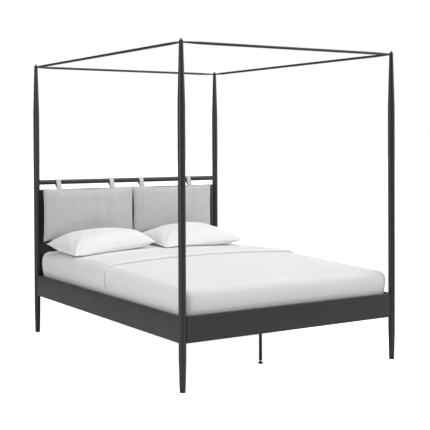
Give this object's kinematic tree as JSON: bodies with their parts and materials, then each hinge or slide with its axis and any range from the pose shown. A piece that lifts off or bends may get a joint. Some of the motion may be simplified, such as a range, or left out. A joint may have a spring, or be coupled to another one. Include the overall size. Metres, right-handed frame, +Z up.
{
  "type": "four poster canopy bed",
  "caption": "Four poster canopy bed with tapered round posts joined by canopy rods at the top, deep rails, a headboard with cushions hung from a rail, and a made-up mattress.",
  "frame": {"origin": "on the floor at the middle of the bed, between the four posts", "axes": "+X to the right for someone who stands at the foot, +Y towards the headboard, +Z up"},
  "size_m": [1.619, 2.184, 2],
  "materials": {
    "powder_coated_steel": "satin",
    "zinc_plated_steel": "satin",
    "black_plastic": "matte",
    "pine": "matte",
    "heather_fabric": "matte",
    "white_cotton": "matte"
  },
  "bodies": {
    "frame": {"post_foot_left": "powder_coated_steel", "post_foot_right": "powder_coated_steel", "post_head_left": "powder_coated_steel", "post_head_right": "powder_coated_steel", "finial_foot_left": "powder_coated_steel", "finial_foot_right": "powder_coated_steel", "finial_head_left": "powder_coated_steel", "finial_head_right": "powder_coated_steel", "glide_foot_left": "black_plastic", "glide_foot_right": "black_plastic", "glide_head_left": "black_plastic", "glide_head_right": "black_plastic", "canopy_rod_left": "powder_coated_steel", "canopy_rod_right": "powder_coated_steel", "canopy_rod_foot": "powder_coated_steel", "canopy_rod_head": "powder_coated_steel", "side_rail_left": "powder_coated_steel", "side_rail_right": "powder_coated_steel", "foot_rail": "powder_coated_steel", "head_rail": "powder_coated_steel", "rail_bolt_foot_left_end": "zinc_plated_steel", "rail_bolt_foot_left_side": "zinc_plated_steel", "rail_bolt_foot_right_end": "zinc_plated_steel", "rail_bolt_foot_right_side": "zinc_plated_steel", "rail_bolt_head_left_end": "zinc_plated_steel", "rail_bolt_head_left_side": "zinc_plated_steel", "rail_bolt_head_right_end": "zinc_plated_steel", "rail_bolt_head_right_side": "zinc_plated_steel", "centre_beam": "powder_coated_steel", "centre_leg_foot": "powder_coated_steel", "centre_leg_head": "powder_coated_steel", "headboard_panel": "powder_coated_steel", "cushion_rail": "powder_coated_steel", "slat_01": "pine", "slat_02": "pine", "slat_03": "pine", "slat_04": "pine", "slat_05": "pine", "slat_06": "pine", "slat_07": "pine", "slat_08": "pine", "slat_09": "pine", "slat_10": "pine", "slat_11": "pine", "slat_12": "pine"},
    "mattress_and_sheet": {"mattress": "white_cotton", "top_sheet": "white_cotton"},
    "left_pillow": {"pillow_left": "white_cotton"},
    "right_pillow": {"pillow_right": "white_cotton"},
    "left_cushion": {"cushion_left": "heather_fabric", "strap_1": "heather_fabric", "strap_2": "heather_fabric"},
    "right_cushion": {"cushion_right": "heather_fabric", "strap_3": "heather_fabric", "strap_4": "heather_fabric"},
    "foot_leveller": {"leveller_foot": "black_plastic"},
    "head_leveller": {"leveller_head": "black_plastic"}
  },
  "joints": [
    {"name": "mattress_lift", "type": "slide", "parent": "frame", "child": "mattress_and_sheet", "axis": [0, 0, 1], "range_m": [0, 0.06]},
    {"name": "left_pillow_lift", "type": "slide", "parent": "mattress_and_sheet", "child": "left_pillow", "axis": [0, 0, 1], "range_m": [0, 0.3]},
    {"name": "right_pillow_lift", "type": "slide", "parent": "mattress_and_sheet", "child": "right_pillow", "axis": [0, 0, 1], "range_m": [0, 0.3]},
    {"name": "left_cushion_swing", "type": "hinge", "parent": "frame", "child": "left_cushion", "pos_m": [0, 1.07, 1.118], "axis": [-1, 0, 0], "range_deg": [0, 5]},
    {"name": "right_cushion_swing", "type": "hinge", "parent": "frame", "child": "right_cushion", "pos_m": [0, 1.07, 1.118], "axis": [-1, 0, 0], "range_deg": [0, 5]},
    {"name": "foot_leveller_screw", "type": "slide", "parent": "frame", "child": "foot_leveller", "axis": [0, 0, -1], "range_m": [0, 0.012]},
    {"name": "head_leveller_screw", "type": "slide", "parent": "frame", "child": "head_leveller", "axis": [0, 0, -1], "range_m": [0, 0.012]}
  ]
}
